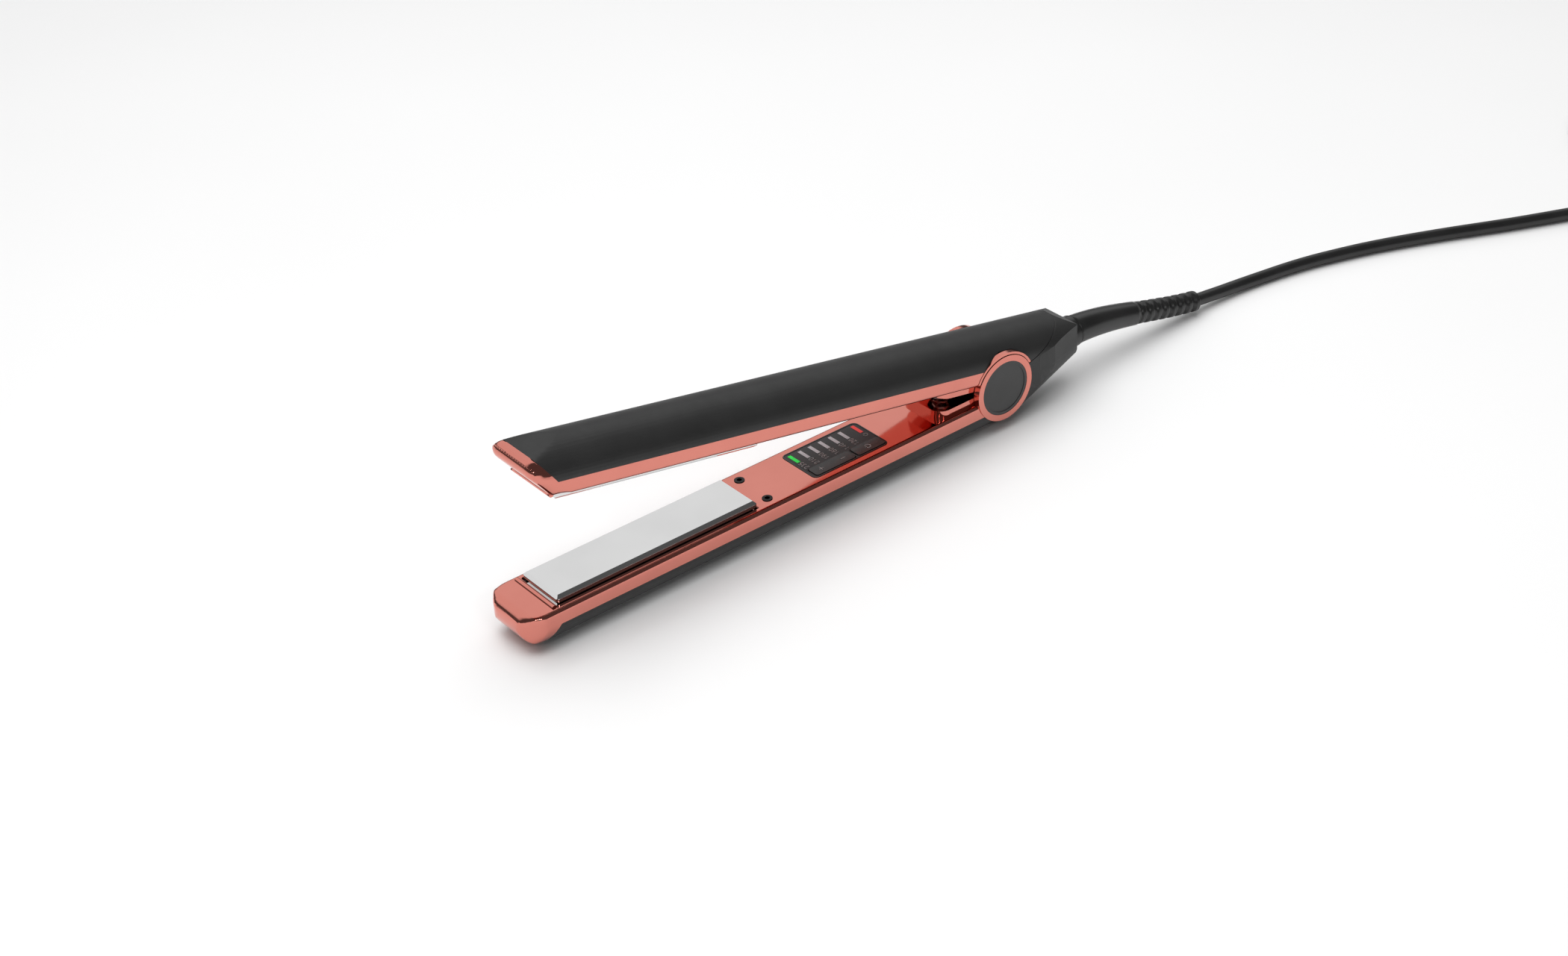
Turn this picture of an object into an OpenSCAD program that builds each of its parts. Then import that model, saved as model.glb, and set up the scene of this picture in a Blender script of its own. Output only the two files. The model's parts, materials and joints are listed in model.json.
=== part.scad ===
// Hair straightener: two hinged arms with floating plates, a control panel and a swivel cord.
// The hinge axis runs along Y. The nose points along -X and the cord leaves along +X.

/* [Arms] */
// Width of each arm
arm_w = 32.6; // [31.6:0.2:34]
// Depth of the side band and shoulder, from the inner face to the cover seam
seam_d = 6.8; // [6.4:0.1:7.4]
// Height of the domed cover above the seam
dome_d = 12.2; // [11.8:0.1:12.8]
// Distance from the hinge axis to the tip of the nose
nose_reach = 256.2; // [252:0.2:262]
// Gap between the two inner faces when the arms are shut
shut_gap = 6.8; // [6.4:0.1:7.4]
// Angle between the arms when they spring open
open_angle = 10.7; // [9.5:0.1:10.7]

/* [Plates] */
// Length of each heating plate
plate_l = 102; // [96:1:104]
// Width of each heating plate
plate_w = 25; // [24:0.5:26]
// Distance from the hinge axis to the middle of the plates
plate_reach = 188; // [186:0.5:190]

/* [Hinge] */
// Outer radius of the hinge ring
ring_r = 15.9; // [15:0.1:16]
// Radius of the disc set in the ring
insert_r = 13; // [12:0.1:13.2]
// Radius of the two hinge pins
pin_r = 2.5; // [2:0.1:3]

/* [Controls] */
// Length of the control panel along the arm
panel_l = 41.6; // [40:0.2:42]
// Width of the control panel across the arm
panel_w = 23.8; // [23:0.2:24.4]
// Distance from the hinge axis to the middle of the panel
panel_reach = 84.5; // [83:0.5:86]
// Distance between the temperature lights
light_pitch = 5.6; // [5.2:0.1:5.8]

/* [Cord] */
// Diameter of the cord
cord_d = 6.2; // [6:0.1:6.6]
// Radius of the swivel collar
collar_r = 7.5; // [7:0.1:7.8]
// Number of ribs on the strain relief
rib_count = 8; // [7:1:8]

/* [Hidden] */
$fn = 96;

// Colours
black_matte = "#2b2b2d";
rose_gold = "#d3887c";
plate_silver = "#d9d9d9";
panel_grey = "#4b4b4e";
steel = "#b8bcc0";
brass = "#c8a24a";
ceramic = "#ece7dc";
board_green = "#1f6b3a";

// Levels of the lower arm and the hinge
half_w = arm_w / 2;
half_gap = shut_gap / 2;
arm_d = seam_d + dome_d;
belly_cut = 0.6;                      // flat strip that the lower cover lies on
face_z = arm_d - belly_cut;           // inner face of the lower arm
hinge_x = 59;
hinge_z = face_z + half_gap;
nose_x = hinge_x - nose_reach;
plate_x = hinge_x - plate_reach;
panel_x = hinge_x - panel_reach;

// Walls
cover_t = 1.8;
liner_t = 1.6;
shoulder_r = 1.9;
side_r = 9.2;                         // corner arcs of the dome
nose_r = 10.2;                        // corners of the nose seen from above
skin = 0.35;                          // running gap between moving shells

// Dome: two corner arcs joined by one flatter arc
side_cy = half_w - side_r;
crown_drop = (side_cy * side_cy - pow(dome_d - side_r, 2)) / (2 * (dome_d - side_r));
crown_r = dome_d + crown_drop;

// Cover seam near the nose leans forward as it climbs the dome
seam_front_x = nose_x + 16;
seam_lean = 0.95;

// Soft ogive about the length of the arm that takes the corners off the nose
ogive_r = 15.5;
ogive_l = 14;
ogive_mid = 3.6;
ogive_z = 7;

// Nose seen from the side: lip at the inner face, front, then a sweep that ends just above the crown
lip_r = 5;
front_d = 6.3;                        // depth of the foremost point
sweep_x = 34;
sweep_r = 87;
sweep_drop = front_d - (arm_d + 0.5 - sweep_r);
front_r = (sweep_r * sweep_r - sweep_x * sweep_x - sweep_drop * sweep_drop) / (2 * (sweep_r - sweep_x));
front_cut = sweep_x - sweep_r * (sweep_x - front_r) / (sweep_r - front_r);

// Beak of the upper arm: its underside climbs from the foot to a round tip
beak_r = 4.2;
beak = [nose_x + 4 + beak_r, 11.4];
beak_foot = [nose_x + 14.6, 0];
beak_len = norm(beak - beak_foot);
beak_a = atan2(beak.y, beak.x - beak_foot.x) + asin(beak_r / beak_len);
beak_heel = beak_foot + sqrt(beak_len * beak_len - beak_r * beak_r) * [cos(beak_a), sin(beak_a)];

// Hinge knuckle of the upper arm, between the ears of the lower arm
knuckle_r = 11;
knuckle_w = 26.6;
ear_in = 13.6;
ear_out = half_w + 0.5;
rim_r = ring_r + skin + 1.1;

// Tail behind the hinge
tail_l = 51.75;
tail_start = 17;
tail_half_w = 11;
tail_seam_x = 16.75;                  // a point on the slanted seam over the tail
tail_seam_z = 7.1;
tail_seam_slope = 0.302;
taper_r = 23.6;                       // envelope of the tail about the cord's axis, at the hinge
taper = 0.26;
tail_side_r = (pow(tail_l - tail_start, 2) + pow(half_w - tail_half_w, 2)) / (2 * (half_w - tail_half_w));
tail_corner = 6;
tail_turn = asin((tail_l - tail_corner - tail_start) / (tail_side_r - tail_corner));
tail_corner_y = (tail_side_r - tail_corner) * cos(tail_turn) - tail_side_r + half_w;

// Plate assembly levels, measured from the inner face into the arm
plate_top = -half_gap;
plate_bevel = 1.4;
tongue_top = liner_t + 0.1;
tongue_bottom = 3;
heater_t = 2.2;
carrier_floor = 9;
plate_travel = 1;
spring_x = plate_l / 2 - 7;
spring_y = 7.4;

// Controls
key_y0 = -panel_w / 2 + 1.2;
key_y1 = -4.2;
rocker_x0 = hinge_x - 103.2;
rocker_x1 = hinge_x - 81.4;
power_x0 = hinge_x - 80;
power_x1 = hinge_x - 64.6;
light_x0 = hinge_x - 102.2;
red_x = hinge_x - 66.8;
light_y = 6.5;
light_l = 6.8;
light_w = 1.7;
board_d = 6;

key_y = (key_y0 + key_y1) / 2;
key_top = -0.3;
rocker_x = (rocker_x0 + rocker_x1) / 2;
power_x = (power_x0 + power_x1) / 2;
bezel_t = 0.5;
pivot_d = 3.2;                        // depth of the rocker's cross pin
pivot_y0 = -11.4;
pivot_y1 = -3.8;

// Opening spring beside the hinge
spring_seat_rel = -25;
spring_seat_x = hinge_x + spring_seat_rel;
spring_pocket_r = 5.2;
cup_d = 7.6;
lead_y = 8.6;

// Swivel, sleeve and strain relief
swivel_x = hinge_x + tail_l;
relief_r = 5.35;
sleeve_end = 0.5;
relief_path = [[swivel_x + 5, 0, hinge_z - 0.1], [142, 0, 21], [168, 0, 10.5], [197.25, 0, 5.9]];

// Route of the free cord along the floor, as far as the hank
cord_to_hank = [
    [197.25, 0, 5.9], [206, 0, 4.9], [215, -0.3, 4.1], [228, -1.2, 3.4], [242, -3, 3.1], [256, -5.4, 3.1],
    [270, -8.6, 3.1], [284, -12.8, 3.1], [298, -17.6, 3.1], [312, -23.2, 3.1], [326, -29.4, 3.1], [340, -36, 3.1],
    [354, -43, 3.1], [368, -50, 3.1], [380, -55.6, 3.1], [391, -60.6, 3.1], [402, -65.6, 3.1], [414, -71.4, 3.1],
    [426, -77.2, 3.1], [438, -82.8, 3.1], [450, -87.6, 3.1]
];

// Hank: spare cord folded between two end bends, drawn in at the tie
hank_x0 = 470;
hank_x1 = 587;
hank_y = -75;
hank_r = 27.9;
hank_h = 24.8;
hank_mid = (hank_x0 + hank_x1) / 2;
waist_w = 13;
waist_r = (pow((hank_x1 - hank_x0) / 2, 2) + pow(hank_r - waist_w, 2)) / (2 * (hank_r - waist_w));

// Plug, beside the hank
plug_x0 = 515;
plug_x1 = 553;
plug_y = -0.6;
plug_h = 13.6;

// Route from the side of the hank round to the plug: out, half a turn, then straight in
loop_x = 490;
loop_r = 26.8;
cord_to_plug = concat(
    [[510, -61, 3.1], [500, -57.4, 3.1]],
    [for (i = [0:6]) let (a = -90 - 30 * i) [loop_x + loop_r * cos(a), plug_y - loop_r + loop_r * sin(a), 3.1 + 0.5 * i]],
    [[500, plug_y, 6.6], [507, plug_y, plug_h / 2]]
);

function arc(cx, cy, r, a0, a1, n) = [for (i = [0:n]) let (a = a0 + (a1 - a0) * i / n) [cx + r * cos(a), cy + r * sin(a)]];

// ---- Building blocks -------------------------------------------------------

// Extrudes a (y, z) outline from x0 to x1
module along_x(x0, x1) translate([x0, 0, 0]) rotate([90, 0, 90]) linear_extrude(x1 - x0) children();

// Extrudes an (x, z) outline across the width w, centred on y = 0
module along_y(w) translate([0, w / 2, 0]) rotate([90, 0, 0]) linear_extrude(w) children();

// A box from its two opposite corners
module block(a, b) translate(a) cube(b - a);

// A rounded rectangle with true arcs at its corners
module rounded(x0, x1, y0, y1, r) {
    translate([x0 + r, y0]) square([x1 - x0 - 2 * r, y1 - y0]);
    translate([x0, y0 + r]) square([x1 - x0, y1 - y0 - 2 * r]);
    for (x = [x0 + r, x1 - r], y = [y0 + r, y1 - r]) translate([x, y]) circle(r);
}

// A cylinder across the arm, centred on y = 0
module rod_y(x, z, r, w) translate([x, w / 2, z]) rotate([90, 0, 0]) cylinder(r = r, h = w);

// A cylinder across the arm between two y values
module span_y(x, z, r, y0, y1) translate([x, y1, z]) rotate([90, 0, 0]) cylinder(r = r, h = y1 - y0);

// A round bar between two points
module bar(a, b, r) {
    d = b - a;
    l = norm(d);
    translate(a) rotate([0, acos(d.z / l), atan2(d.y, d.x)]) cylinder(r = r, h = l);
}

// Places an arm-frame shape (z measured from the inner face outwards) in the lower arm
module lower() translate([0, 0, face_z]) mirror([0, 0, 1]) children();

// Places an arm-frame shape in the upper arm, swung open about the hinge
module upper() swing() translate([0, 0, face_z + shut_gap]) children();

// Swings a shape of the shut iron to the open pose
module swing() translate([hinge_x, 0, hinge_z]) rotate([0, open_angle, 0])
    translate([-hinge_x, 0, -hinge_z]) children();

// ---- Outer shape of an arm -------------------------------------------------

// Cross-section: straight sides below the seam, dome above; t insets the outer surface
module arm_section(t, shoulder) {
    w = half_w - t;
    if (shoulder > 0) {
        translate([-w, shoulder]) square([2 * w, seam_d - shoulder]);
        translate([-w + shoulder, 0]) square([2 * (w - shoulder), seam_d]);
        for (s = [-1, 1]) translate([s * (w - shoulder), shoulder]) circle(shoulder);
    } else {
        translate([-w, -half_gap]) square([2 * w, seam_d + half_gap]);
    }
    for (s = [-1, 1]) translate([s * side_cy, seam_d]) circle(side_r - t);
    intersection() {
        translate([0, seam_d - crown_drop]) circle(crown_r - t);
        polygon([[0, seam_d - crown_drop], [3 * side_cy, seam_d + 2 * crown_drop], [-3 * side_cy, seam_d + 2 * crown_drop]]);
    }
    translate([-side_cy, seam_d - 0.5]) square([2 * side_cy, side_r - t]);
}

// Nose and body seen from above
module arm_plan(t, x1) rounded(nose_x + t, x1, -half_w + t, half_w - t, nose_r - t);

// Nose and body seen from the side: a round lip, a rounder front, and a long sweep up to the crown
module arm_profile(t, x1) {
    translate([nose_x + lip_r, lip_r]) circle(lip_r - t);
    translate([nose_x + t, lip_r]) square([front_r, front_d - lip_r]);
    intersection() {
        translate([nose_x + front_r, front_d]) circle(front_r - t);
        translate([nose_x, front_d]) square([front_r, front_r]);
    }
    intersection() {
        translate([nose_x + sweep_x, front_d - sweep_drop]) circle(sweep_r - t);
        translate([nose_x + front_cut, front_d]) square([sweep_x - front_cut, arm_d]);
    }
    translate([nose_x + lip_r, t]) square([x1 - nose_x - lip_r, front_d - t]);
    translate([nose_x + sweep_x - 1, front_d - 1]) square([x1 - nose_x - sweep_x + 1, arm_d + 1.5 - front_d]);
}

// The solid arm from the nose back to x1
module arm_solid(t, x1) intersection() {
    along_x(nose_x, x1) arm_section(t, t > 0 ? 0 : shoulder_r);
    translate([0, 0, -half_gap]) linear_extrude(arm_d + shut_gap) arm_plan(t, x1 + 20);
    along_y(arm_w + 2) arm_profile(t, x1 + 20);
    nose_ogive(t > 0 ? 5 : 0, x1);
}

// Round envelope of the nose; it is wider than the arm from ogive_l on, and grow keeps it clear of the hollow
module nose_ogive(grow, x1) {
    translate([nose_x, 0, ogive_z]) rotate([0, 90, 0]) rotate_extrude() intersection() {
        translate([ogive_mid, ogive_l]) circle(ogive_r + grow);
        translate([0, -1]) square([ogive_mid + ogive_r + grow + 1, ogive_l + 1]);
    }
    translate([nose_x + ogive_l - 0.5, -half_w - 1.2, -half_gap - 0.4]) cube([x1 - nose_x + 20, arm_w + 2.4, arm_d + 8]);
}

// ---- Tail outline, shared by every shell behind the hinge ------------------

// One side of the tail seen from above: clear of the arm at first, then a long arc and a rounded corner
function tail_side(t) = concat(
    [[nose_x - 5, half_w + 3], [hinge_x + tail_start - 5, half_w + 3]],
    arc(hinge_x + tail_start, half_w - tail_side_r, tail_side_r - t, 90 - tail_turn / 6, 90 - tail_turn, 5),
    arc(swivel_x - tail_corner, tail_corner_y, tail_corner - t, 90 - tail_turn, 0, 4)
);

// Tail seen from above
module tail_plan(t) {
    side = tail_side(t);
    polygon(concat(side, [for (i = [len(side) - 1:-1:0]) [side[i].x, -side[i].y]]));
}

// Tail seen from the side, about the hinge: rising belly, rounded end, falling top
module tail_profile(t, wall) {
    belly = 0.306;
    fall = -0.59;
    low_r = 4.5;
    high_r = 3;
    reach = tail_l - wall;
    low_c = -hinge_z + belly * (reach - low_r - 19) + (low_r + t) * sqrt(1 + belly * belly);
    high_c = 14.8 + fall * (reach - high_r - 42.3) - (high_r + t) * sqrt(1 + fall * fall);
    left = -30;
    translate([hinge_x, hinge_z]) polygon(concat(
        [[left, -hinge_z + belly * (left - 19) + t * sqrt(1 + belly * belly)]],
        arc(reach - low_r, low_c, low_r, atan(belly) - 90, 0, 8),
        arc(reach - high_r, high_c, high_r, 0, 90 + atan(fall), 8),
        [[left, 14.8 + fall * (left - 42.3) - t * sqrt(1 + fall * fall)]]
    ));
    translate([nose_x - 30, -20]) square([hinge_x - nose_x, 140]);
}

// Everything below the slanted seam over the tail, raised by lift
module below_tail_seam(lift) along_y(arm_w + 10) translate([hinge_x, hinge_z]) polygon([
    [-4, tail_seam_z + tail_seam_slope * (-4 - tail_seam_x) + lift],
    [80, tail_seam_z + tail_seam_slope * (80 - tail_seam_x) + lift],
    [80, -60], [-4, -60]
]);

module tail_bounds(t, wall) intersection() {
    linear_extrude(300, center = true) tail_plan(t);
    along_y(arm_w + 4) tail_profile(t, wall);
}

// Space swept by the ring ears of the lower arm, grown by gap
module ring_space(gap) for (s = [-1, 1])
    span_y(hinge_x, hinge_z, ring_r + gap, s > 0 ? ear_in - gap : -half_w - 3, s > 0 ? half_w + 3 : gap - ear_in);

module knuckle_space(gap) rod_y(hinge_x, hinge_z, knuckle_r + gap, 2 * ear_in);

// ---- Covers ----------------------------------------------------------------

// Region of an arm that belongs to its cover, above the seam and behind the nose lip
module cover_region(x1) along_y(arm_w + 2) polygon([
    [seam_front_x, seam_d], [x1, seam_d], [x1, arm_d + 2],
    [seam_front_x - seam_lean * (arm_d + 2 - seam_d), arm_d + 2]
]);

module cover_shell(x1) difference() {
    intersection() {
        arm_solid(0, x1);
        cover_region(x1);
    }
    arm_solid(cover_t, x1 + 1);
}

// Cone about the cord's axis that the lower half of the tail tapers to
module tail_cone(t) translate([hinge_x - 10, 0, hinge_z]) rotate([0, 90, 0])
    cylinder(r1 = taper_r + 10 * taper - 1.035 * t, r2 = taper_r - 60 * taper - 1.035 * t, h = 70);

// The same taper for the upper half, seen from above
module tail_wedge(t) {
    wide = taper_r + 10 * taper - 1.035 * t;
    thin = taper_r - 60 * taper - 1.035 * t;
    translate([0, 0, -5]) linear_extrude(90) polygon([
        [hinge_x - 10, -wide], [hinge_x + 60, -thin], [hinge_x + 60, thin], [hinge_x - 10, wide]
    ]);
}

// Lower half of the tail, up to the level of the hinge axis
module tail_lower_half(t) intersection() {
    lower() along_x(hinge_x, swivel_x + 1) arm_section(t, 0);
    tail_bounds(t, t > 0 ? 4 : 0);
    tail_cone(t);
}

module lower_cover() color(black_matte) difference() {
    union() {
        difference() {
            intersection() {
                lower() cover_shell(hinge_x + 0.5);
                translate([nose_x - 1, -half_w - 1, 0]) cube([nose_reach + 60, arm_w + 2, face_z]);
            }
        }
        difference() {
            intersection() {
                tail_lower_half(0);
                translate([hinge_x, -half_w - 1, 0]) cube([tail_l + 2, arm_w + 2, hinge_z]);
            }
            tail_lower_half(cover_t);
            translate([hinge_x - 1, -half_w + cover_t, hinge_z - 10]) cube([12, arm_w - 2 * cover_t, 20]);
        }
        lower() cover_posts();
    }
    ring_space(0.05);
    knuckle_space(skin);
    swivel_bore();
}

// Two posts inside a cover that carry the plate tray
module cover_posts() for (x = [plate_x - 40, plate_x + 40])
    translate([x, 0, carrier_floor + 1.2]) cylinder(r = 3, h = arm_d - carrier_floor - 2.2);

module swivel_bore() translate([swivel_x - 6, 0, hinge_z]) rotate([0, 90, 0]) cylinder(r = collar_r - 0.95, h = 8);

module tail_cap() color(black_matte) difference() {
    intersection() {
        swing() translate([0, 0, face_z + shut_gap]) along_x(hinge_x, swivel_x + 12) arm_section(0, 0);
        tail_bounds(0, 0);
        tail_wedge(0);
        below_tail_seam(-skin / 2);
        translate([hinge_x + 8, -half_w - 1, hinge_z]) cube([tail_l, arm_w + 2, 40]);
    }
    intersection() {
        swing() translate([0, 0, face_z + shut_gap]) along_x(hinge_x - 10, swivel_x + 20) arm_section(cover_t, 0);
        tail_bounds(cover_t, 4);
        tail_wedge(cover_t);
        below_tail_seam(-cover_t - skin);
    }
    ring_space(0.05);
    knuckle_space(skin);
    swivel_bore();
}

module upper_cover() color(black_matte) difference() {
    upper() {
        cover_shell(swivel_x + 8);
        cover_posts();
    }
    below_tail_seam(skin / 2);
    upper() translate([hinge_x, 0, -half_gap]) rim_cut();
}

// Hole in the upper cover for the ring and its rim, in the arm frame about the hinge
module rim_cut() for (s = [-1, 1])
    span_y(0, 0, rim_r + 0.05, s > 0 ? ear_in - skin : -half_w - 3, s > 0 ? half_w + 3 : skin - ear_in);

// ---- Liners ----------------------------------------------------------------

// Inner shell of an arm with its nose lip, plate window and screw holes
module liner_shell(x1, beaked) difference() {
    union() {
        difference() {
            arm_solid(0, x1);
            cover_region(x1 + 30);
            block([nose_x + 14, -half_w + liner_t, liner_t], [x1 + 1, half_w - liner_t, arm_d + 5]);
            block([nose_x + 12.6, -half_w + liner_t, 2.7], [nose_x + 15, half_w - liner_t, arm_d + 5]);
            if (beaked) beak_cut();
        }
        nose_rib();
        for (s = [-1, 1]) translate([screw_x, s * screw_y, 0.5]) cylinder(r = 2.6, h = 7);
    }
    translate([0, 0, -5]) linear_extrude(12)
        rounded(plate_x - plate_l / 2 - 0.7, plate_x + plate_l / 2 + 0.7, -plate_w / 2 - 0.6, plate_w / 2 + 0.6, 1);
    for (s = [-1, 1]) translate([screw_x, s * screw_y, -1]) cylinder(r = 1.5, h = 10);
    for (s = [-1, 1]) translate([screw_x, s * screw_y, -1]) cylinder(r = 2.35, h = 2.2);
}

screw_x = plate_x + plate_l / 2 + 7.4;
screw_y = 9.6;

// What the beak lacks of the plain nose: everything below its underside and ahead of its tip
module beak_cut() along_y(arm_w + 2) difference() {
    polygon([[nose_x - 2, -2], [beak_foot.x, -2], [beak_foot.x, 0.01], [beak.x, beak.y], [beak.x, arm_d], [nose_x - 2, arm_d]]);
    translate(beak) circle(beak_r);
    polygon([beak_foot, beak_heel, beak, [beak.x, arm_d + 1], [beak.x + 9, arm_d + 1], [beak_foot.x + 9, 0]]);
}

// Raised bar across the liner just ahead of the plate
module nose_rib() {
    x = plate_x - plate_l / 2 - 2.2;
    intersection() {
        translate([x, 0, 0.3]) rotate([90, 0, 0]) cylinder(r = 1.25, h = plate_w + 2, center = true);
        block([x - 2, -20, -2], [x + 2, 20, liner_t]);
    }
}

// Block beside the hinge that meets its twin on the other arm when the iron is shut
module hinge_boss(z0, z1) translate([0, 0, z0]) linear_extrude(z1 - z0)
    rounded(hinge_x - 36, hinge_x - 6, -13.4, 13.4, 6);

module spring_pocket(z0, z1) translate([spring_seat_x, 0, z0]) cylinder(r = spring_pocket_r, h = z1 - z0);

module lower_liner() color(rose_gold) difference() {
    union() {
        difference() {
            union() {
                lower() liner_shell(hinge_x, false);
                lower() spring_cup();
                hinge_boss(face_z - liner_t, hinge_z - 0.06);
            }
            knuckle_space(skin);
            spring_pocket(face_z - cup_d + 1.5, hinge_z + 5);
        }
        for (s = [-1, 1]) span_y(hinge_x, hinge_z, ring_r, s > 0 ? ear_in : -ear_out, s > 0 ? ear_out : -ear_in);
    }
    for (s = [-1, 1]) span_y(hinge_x, hinge_z, insert_r + 0.05, s > 0 ? ear_out - 1.1 : -half_w - 3, s > 0 ? half_w + 3 : 1.1 - ear_out);
    rod_y(hinge_x, hinge_z, pin_r, arm_w);
    lower() translate([0, 0, -2]) linear_extrude(8)
        rounded(panel_x - panel_l / 2 - 0.1, panel_x + panel_l / 2 + 0.1, -panel_w / 2 - 0.1, panel_w / 2 + 0.1, 2.6);
}

module upper_liner() color(rose_gold) {
    difference() {
        union() {
            difference() {
                union() {
                    upper() liner_shell(hinge_x + 1, true);
                    upper() spring_cup();
                    swing() hinge_boss(hinge_z + 0.06, hinge_z + half_gap + liner_t);
                }
                swing() spring_pocket(hinge_z - 5, hinge_z + half_gap + cup_d - 1.5);
                upper() rim_gap();
            }
            rod_y(hinge_x, hinge_z, knuckle_r, knuckle_w);
            upper() rim_arc();
        }
        rod_y(hinge_x, hinge_z, knuckle_r - 2.6, knuckle_w - 6);
        rod_y(hinge_x, hinge_z, pin_r + 0.05, arm_w);
        upper() translate([hinge_x - 16, lead_y, 4]) rotate([0, 90, 0]) cylinder(r = 1.6, h = 12);
    }
}

// Clears the ears of the lower arm out of the upper arm's liner
module rim_gap() translate([hinge_x, 0, -half_gap]) for (s = [-1, 1])
    span_y(0, 0, ring_r + skin, s > 0 ? ear_in - skin : -half_w - 3, s > 0 ? half_w + 3 : skin - ear_in);

// Thin bright rim of the upper liner that shows above each ring
module rim_arc() intersection() {
    translate([hinge_x, 0, -half_gap]) for (s = [-1, 1]) difference() {
        span_y(0, 0, rim_r, s > 0 ? ear_in + 0.6 : -half_w - 0.2, s > 0 ? half_w + 0.2 : -ear_in - 0.6);
        rod_y(0, 0, ring_r + skin, arm_w + 4);
    }
    along_y(arm_w + 4) translate([hinge_x, -half_gap]) polygon([
        [-rim_r - 1, half_gap + 1], [0, half_gap + 1], [14.4, half_gap + seam_d], [rim_r, 14.4], [rim_r, 30], [-rim_r - 1, 30]
    ]);
}

// Cup under the inner face that seats one end of the opening spring
module spring_cup() translate([spring_seat_x, 0, liner_t - 0.2]) cylinder(r = spring_pocket_r + 1.6, h = cup_d - liner_t + 0.2);

// ---- Plate assembly, in the arm frame --------------------------------------

// Spring-loaded plate: bevelled slab, neck through the window, tongue under the liner
module plate() color(plate_silver) {
    x0 = plate_x - plate_l / 2;
    x1 = plate_x + plate_l / 2;
    low = plate_top + 3;
    intersection() {
        along_x(x0 - 1, x1 + 1) polygon([
            [-plate_w / 2, low], [-plate_w / 2, plate_top + plate_bevel], [-plate_w / 2 + plate_bevel, plate_top],
            [plate_w / 2 - plate_bevel, plate_top], [plate_w / 2, plate_top + plate_bevel], [plate_w / 2, low]
        ]);
        along_y(plate_w + 2) polygon([
            [x0, low], [x0, plate_top + plate_bevel], [x0 + plate_bevel, plate_top],
            [x1 - plate_bevel, plate_top], [x1, plate_top + plate_bevel], [x1, low]
        ]);
        translate([0, 0, plate_top - 1]) linear_extrude(6) rounded(x0, x1, -plate_w / 2, plate_w / 2, 1.2);
    }
    block([x0 + 1, -10.5, low - 0.01], [x1 - 1, 10.5, tongue_top + 0.01]);
    block([plate_x - 53.5, -10.5, tongue_top], [plate_x + 53.5, 10.5, tongue_bottom]);
}

module heater() color(ceramic)
    block([plate_x - 35, -7, tongue_bottom], [plate_x + 35, 7, tongue_bottom + heater_t]);

// Spring-steel clamp that holds the heater against the plate
module heater_clamp() color(steel) {
    z = tongue_bottom + heater_t;
    block([plate_x - 22, -5, z], [plate_x + 22, 5, z + 0.8]);
    for (s = [-1, 1]) block([plate_x - 4, s > 0 ? 7 : -8, tongue_bottom], [plate_x + 4, s > 0 ? 8 : -7, z]);
    for (s = [-1, 1]) block([plate_x - 4, s > 0 ? 4.9 : -8, z], [plate_x + 4, s > 0 ? 8 : -4.9, z + 0.8]);
}

// Bead thermistor lying against the plate
module heat_sensor() color(ceramic)
    translate([plate_x + 37, 0, tongue_bottom + 1.2]) rotate([0, 90, 0]) cylinder(r = 1.2, h = 7, $fn = 32);

// Open tray under the liner that the plate floats in
module carrier() color(black_matte) difference() {
    union() {
        block([plate_x - 55.5, -13.2, liner_t], [plate_x + 55.5, 13.2, carrier_floor + 1.2]);
        block([plate_x - 55.5, -14.4, liner_t], [plate_x + 55.5, 14.4, 3]);
    }
    block([plate_x - 54.3, -12, liner_t - 1], [plate_x + 54.3, 12, carrier_floor]);
    block([plate_x + 53, -4, 6.4], [plate_x + 57, 4, carrier_floor]);
    block([plate_x - 56, -15, liner_t - 1], [plate_x - 54.2, 15, 3]);
}

// Four coil springs between the tray floor and the plate tongue
module plate_springs() color(steel) for (x = [-spring_x, spring_x], y = [-spring_y, spring_y])
    coil([plate_x + x, y, tongue_bottom + 0.05], [plate_x + x, y, carrier_floor - 0.05], 2.1, 0.35, 4);

// Two socket-head screws beyond the plate
module liner_screws() color("#1d1d1f") for (s = [-1, 1]) translate([screw_x, s * screw_y, 0]) difference() {
    union() {
        translate([0, 0, -0.3]) cylinder(r = 2.3, h = 1.5);
        translate([0, 0, 1]) cylinder(r = 1.45, h = 6.4);
    }
    translate([0, 0, -1]) cylinder(r = 1.25, h = 1.8, $fn = 6);
}

module lower_plate() lower() plate();
module lower_heater() lower() heater();
module lower_clamp() lower() heater_clamp();
module lower_sensor() lower() heat_sensor();
module lower_carrier() lower() carrier();
module lower_springs() lower() plate_springs();
module lower_screws() lower() liner_screws();

module upper_plate() upper() plate();
module upper_heater() upper() heater();
module upper_clamp() upper() heater_clamp();
module upper_sensor() upper() heat_sensor();
module upper_carrier() upper() carrier();
module upper_springs() upper() plate_springs();
module upper_screws() upper() liner_screws();

// ---- Swept shapes ----------------------------------------------------------

function unit(v) = v / norm(v);

// Direction of a route at its point i
function heading(p, i) = unit(p[min(i + 1, len(p) - 1)] - p[max(i - 1, 0)]);

// Sideways direction of a route, kept level
function level(h) = abs(h.z) > 0.99 ? [0, 1, 0] : unit(cross([0, 0, 1], h));

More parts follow.
